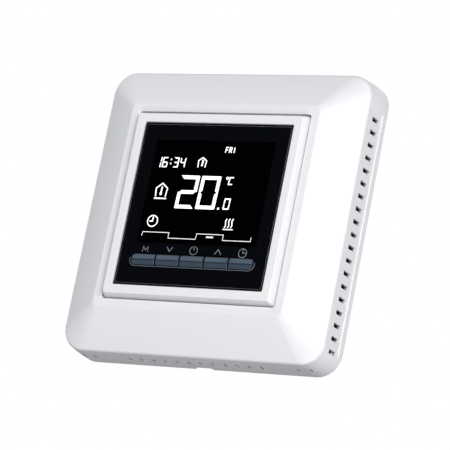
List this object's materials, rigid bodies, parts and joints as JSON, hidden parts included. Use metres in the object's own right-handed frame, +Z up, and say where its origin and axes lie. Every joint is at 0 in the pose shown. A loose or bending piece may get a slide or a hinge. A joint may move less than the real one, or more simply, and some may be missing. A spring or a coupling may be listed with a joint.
{
  "type": "wall thermostat",
  "caption": "Square flush-mounted wall thermostat with a sloped vented surround, black display window, a row of push keys and an in-wall power unit.",
  "frame": {"origin": "centre of the wall plane, where the mounting plate and the back edge of the surround meet the wall", "axes": "+Z up the wall, +Y into the wall, so the display faces -Y; +X to the right of someone facing the display"},
  "size_m": [0.085, 0.0426, 0.085],
  "materials": {
    "surround_white": "satin moulded white, very slightly cool",
    "bezel_white": "satin moulded white",
    "lens_black": "polished, printed black from behind",
    "key_smoked": "smoked slate blue, semi-gloss, slightly see-through",
    "lcd_glass": "dark polarised glass with light symbols",
    "lcd_holder": "black moulded",
    "contact_rubber": "matt striped elastomer",
    "light_guide": "milky acrylic",
    "circuit_board": "solder resist over glass fibre",
    "chip_resin": "moulded resin",
    "metal_can": "drawn can",
    "sensor_bead": "dipped epoxy",
    "connector_nylon": "black nylon with tinned pins",
    "switch_case": "black moulded",
    "switch_plunger": "ivory moulded",
    "cover_grey": "fine matt light grey",
    "housing_grey": "fine matt grey",
    "zinc_steel": "zinc plated sheet",
    "screw_steel": "zinc plated",
    "terminal_green": "moulded green",
    "relay_case": "dark blue moulded",
    "converter_resin": "black potted",
    "film_case": "yellow moulded",
    "varistor_epoxy": "dipped epoxy",
    "fuse_glass": "clear tube with metal caps"
  },
  "bodies": {
    "base": {"mounting_plate": "zinc_steel", "power_housing": "housing_grey", "power_cover": "cover_grey", "power_board": "circuit_board", "pin_socket": "connector_nylon", "terminal_block": "terminal_green", "relay": "relay_case", "power_converter": "converter_resin", "film_capacitor": "film_case", "smoothing_capacitor": "metal_can", "varistor": "varistor_epoxy", "fuse": "fuse_glass", "terminal_screw_1": "screw_steel", "terminal_screw_2": "screw_steel", "terminal_screw_3": "screw_steel", "terminal_screw_4": "screw_steel", "terminal_screw_5": "screw_steel", "terminal_screw_6": "screw_steel", "wall_screw_left": "screw_steel", "wall_screw_right": "screw_steel", "housing_screw_left": "screw_steel", "housing_screw_right": "screw_steel", "board_screw_left": "screw_steel", "board_screw_right": "screw_steel"},
    "surround": {"front_frame": "surround_white"},
    "display": {"display_bezel": "bezel_white", "display_lens": "lens_black", "lcd_panel": "lcd_glass", "lcd_holder": "lcd_holder", "light_guide": "light_guide", "contact_strip": "contact_rubber", "display_board": "circuit_board", "microcontroller": "chip_resin", "backup_capacitor": "metal_can", "clock_crystal": "metal_can", "air_sensor": "sensor_bead", "pin_header": "connector_nylon", "module_cover": "cover_grey", "switch_menu": "switch_case", "switch_down": "switch_case", "switch_power": "switch_case", "switch_up": "switch_case", "switch_timer": "switch_case"},
    "key_menu": {"key_menu": "key_smoked"},
    "plunger_menu": {"plunger_menu": "switch_plunger"},
    "key_down": {"key_down": "key_smoked"},
    "plunger_down": {"plunger_down": "switch_plunger"},
    "key_power": {"key_power": "key_smoked"},
    "plunger_power": {"plunger_power": "switch_plunger"},
    "key_up": {"key_up": "key_smoked"},
    "plunger_up": {"plunger_up": "switch_plunger"},
    "key_timer": {"key_timer": "key_smoked"},
    "plunger_timer": {"plunger_timer": "switch_plunger"}
  },
  "joints": [
    {"name": "surround_pull", "type": "slide", "parent": "base", "child": "surround", "axis": [0, -1, 0], "range_m": [0, 0.025]},
    {"name": "display_pull", "type": "slide", "parent": "base", "child": "display", "axis": [0, -1, 0], "range_m": [0, 0.025]},
    {"name": "key_menu_press", "type": "slide", "parent": "display", "child": "key_menu", "axis": [0, 1, 0], "range_m": [0, 0.0004], "stiffness_N_per_m": 4000},
    {"name": "plunger_menu_slide", "type": "slide", "parent": "display", "child": "plunger_menu", "axis": [0, 1, 0], "range_m": [0, 0.0004]},
    {"name": "key_down_press", "type": "slide", "parent": "display", "child": "key_down", "axis": [0, 1, 0], "range_m": [0, 0.0004], "stiffness_N_per_m": 4000},
    {"name": "plunger_down_slide", "type": "slide", "parent": "display", "child": "plunger_down", "axis": [0, 1, 0], "range_m": [0, 0.0004]},
    {"name": "key_power_press", "type": "slide", "parent": "display", "child": "key_power", "axis": [0, 1, 0], "range_m": [0, 0.0004], "stiffness_N_per_m": 4000},
    {"name": "plunger_power_slide", "type": "slide", "parent": "display", "child": "plunger_power", "axis": [0, 1, 0], "range_m": [0, 0.0004]},
    {"name": "key_up_press", "type": "slide", "parent": "display", "child": "key_up", "axis": [0, 1, 0], "range_m": [0, 0.0004], "stiffness_N_per_m": 4000},
    {"name": "plunger_up_slide", "type": "slide", "parent": "display", "child": "plunger_up", "axis": [0, 1, 0], "range_m": [0, 0.0004]},
    {"name": "key_timer_press", "type": "slide", "parent": "display", "child": "key_timer", "axis": [0, 1, 0], "range_m": [0, 0.0004], "stiffness_N_per_m": 4000},
    {"name": "plunger_timer_slide", "type": "slide", "parent": "display", "child": "plunger_timer", "axis": [0, 1, 0], "range_m": [0, 0.0004]}
  ],
  "couplings": [
    {"joint": "plunger_menu_slide", "follows": "key_menu_press", "ratio": 1},
    {"joint": "plunger_down_slide", "follows": "key_down_press", "ratio": 1},
    {"joint": "plunger_power_slide", "follows": "key_power_press", "ratio": 1},
    {"joint": "plunger_up_slide", "follows": "key_up_press", "ratio": 1},
    {"joint": "plunger_timer_slide", "follows": "key_timer_press", "ratio": 1}
  ]
}
